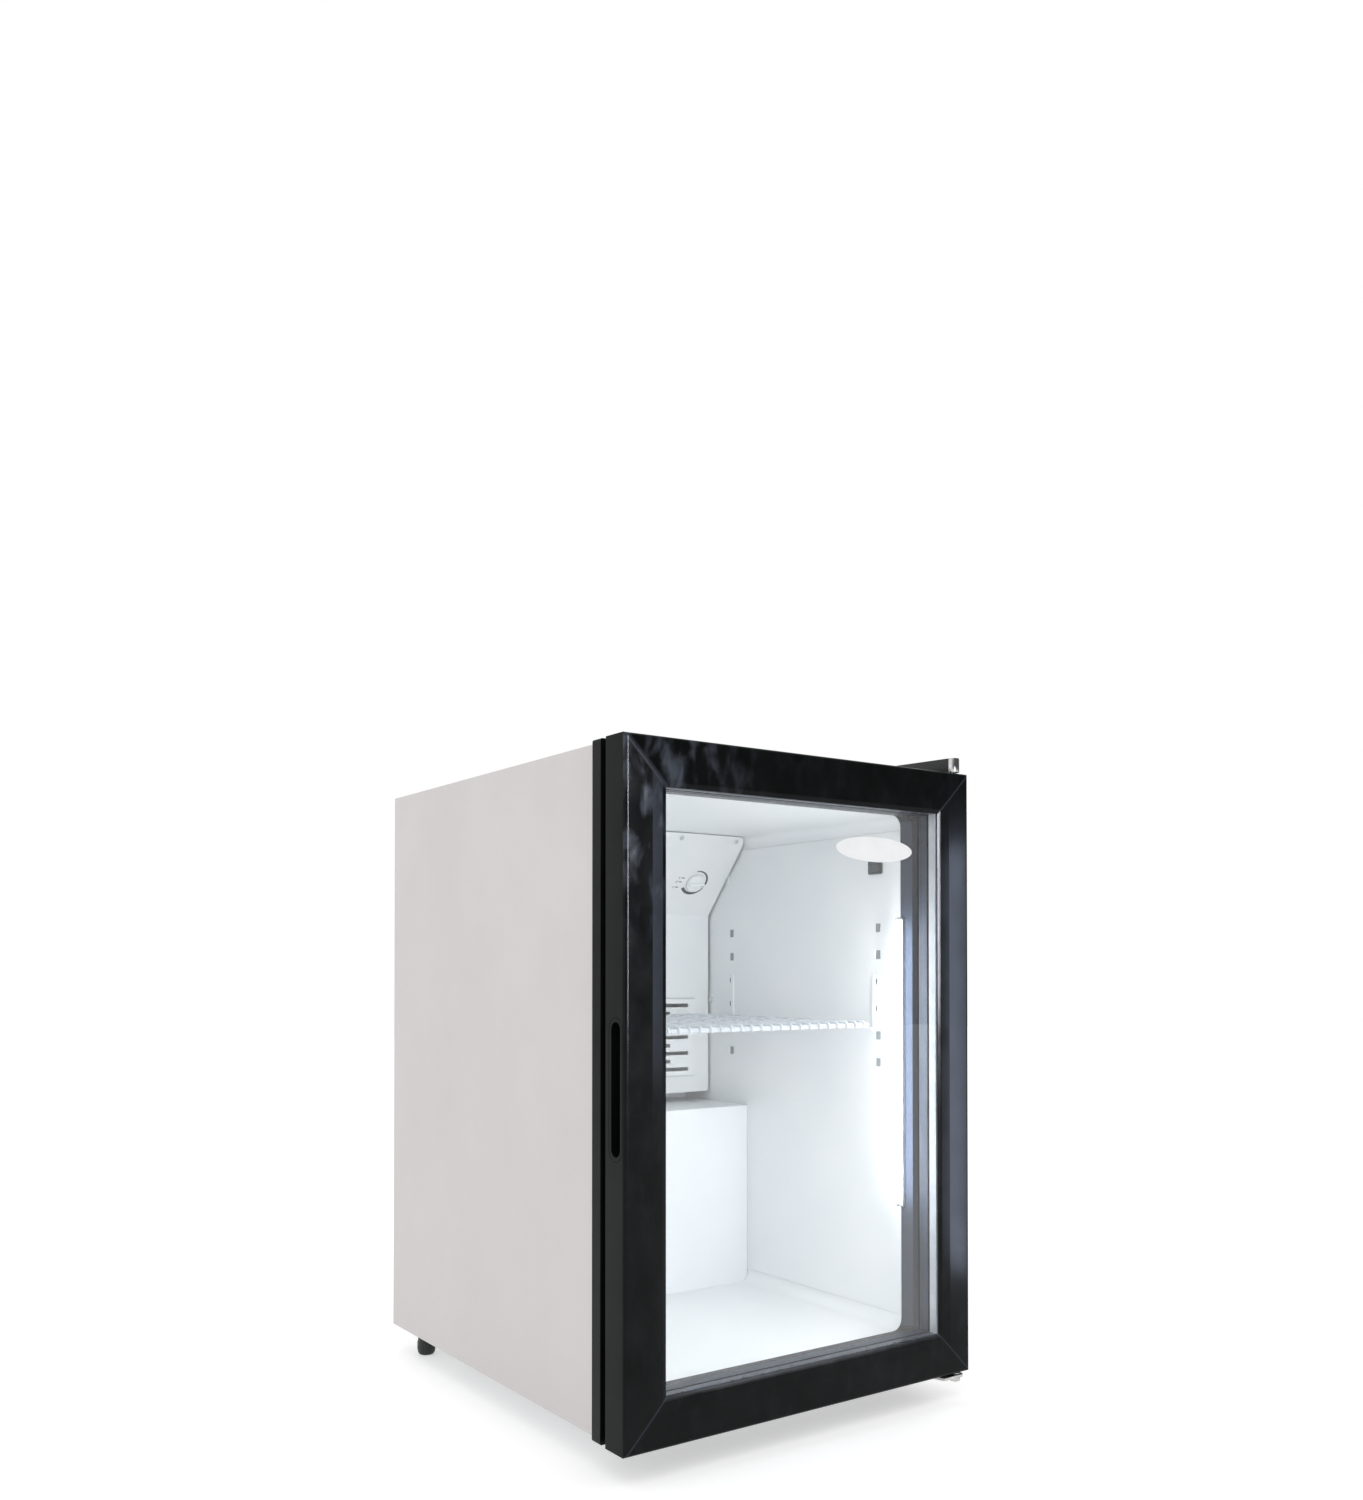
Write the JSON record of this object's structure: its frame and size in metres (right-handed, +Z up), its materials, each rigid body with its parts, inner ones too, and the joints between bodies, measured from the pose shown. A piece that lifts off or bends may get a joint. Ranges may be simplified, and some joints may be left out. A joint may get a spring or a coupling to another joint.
{
  "type": "beverage refrigerator",
  "caption": "Countertop beverage cooler: white lined cabinet with a framed double-glazed door hinged on the right, wire shelf, fan evaporator, lamp strip and rear compressor.",
  "frame": {"origin": "centre of the bounding box's underside, on the ground between the feet", "axes": "+Z up, -Y out of the door, +X towards the hinge side"},
  "size_m": [0.43, 0.53, 0.668],
  "materials": {
    "side_paint": "light warm grey paint on sheet steel, satin",
    "galvanised_sheet": "galvanised sheet steel",
    "frame_black": "gloss black extruded plastic",
    "black_plastic": "satin black moulded plastic",
    "switch_grey": "dark grey moulded plastic",
    "liner_white": "white polystyrene sheet, soft gloss",
    "white_plastic": "white moulded plastic, satin",
    "foam": null,
    "glass": "clear tempered glass",
    "spacer": "pale satin spacer bar",
    "rubber": "dark grey rubber",
    "white_wire": "white coated steel wire",
    "chrome": "bright plated steel",
    "aluminium": "plain aluminium",
    "copper": null,
    "black_paint": "black paint on steel",
    "lamp": "translucent white lens over light-emitting diodes"
  },
  "bodies": {
    "cabinet": {"left_side_panel": "side_paint", "right_side_panel": "side_paint", "top_panel": "side_paint", "back_panel": "galvanised_sheet", "base_pan": "galvanised_sheet", "niche_panel": "galvanised_sheet", "compressor_base": "galvanised_sheet", "front_frame": "frame_black", "foam_insulation": "foam", "liner_left_wall": "liner_white", "liner_right_wall": "liner_white", "liner_ceiling": "liner_white", "liner_floor": "liner_white", "liner_step": "liner_white", "liner_back_wall": "liner_white", "evaporator_cover": "white_plastic", "air_grille": "white_plastic", "fan_frame": "black_plastic", "evaporator_coil": "aluminium", "thermostat_body": "white_plastic", "wire_shelf": "white_wire", "front_left_shelf_clip": "white_plastic", "front_right_shelf_clip": "white_plastic", "rear_left_shelf_clip": "white_plastic", "rear_right_shelf_clip": "white_plastic", "lamp_channel": "aluminium", "lamp_lens": "lamp", "switch_housing": "switch_grey", "front_left_foot": "black_plastic", "front_right_foot": "black_plastic", "rear_left_foot": "black_plastic", "rear_right_foot": "black_plastic", "top_hinge_bracket": "chrome", "top_hinge_cover": "black_plastic", "bottom_hinge_bracket": "chrome", "bottom_hinge_pin": "chrome", "compressor": "black_paint", "relay_cover": "black_plastic", "compressor_grommet_1": "rubber", "compressor_grommet_2": "rubber", "compressor_grommet_3": "rubber", "compressor_grommet_4": "rubber", "evaporation_pan": "black_plastic", "suction_tube": "copper", "discharge_tube": "copper", "filter_drier": "copper", "condenser": "black_paint", "cord_gland": "black_plastic"},
    "door": {"left_stile": "frame_black", "right_stile": "frame_black", "top_rail": "frame_black", "bottom_rail": "frame_black", "front_pane": "glass", "rear_pane": "glass", "spacer_frame": "spacer", "door_gasket": "rubber", "grip_cup": "black_plastic"},
    "fan": {"fan_rotor": "black_plastic"},
    "knob": {"thermostat_knob": "white_plastic"},
    "rocker": {"switch_rocker": "switch_grey"}
  },
  "joints": [
    {"name": "door_hinge", "type": "hinge", "parent": "cabinet", "child": "door", "pos_m": [0.2005, -0.25695, 0.3385], "axis": [0, 0, 1], "range_deg": [0, 115]},
    {"name": "fan_spin", "type": "hinge", "parent": "cabinet", "child": "fan", "pos_m": [0, 0.14885, 0.361], "axis": [0, 1, 0], "continuous": true},
    {"name": "thermostat_turn", "type": "hinge", "parent": "cabinet", "child": "knob", "pos_m": [0.1215, 0.10114, 0.55447], "axis": [0, -0.7585, -0.6516], "range_deg": [0, 270]},
    {"name": "light_switch", "type": "hinge", "parent": "cabinet", "child": "rocker", "pos_m": [0.1699, -0.17015, 0.5575], "axis": [0, 0, 1], "range_deg": [0, 16]}
  ]
}
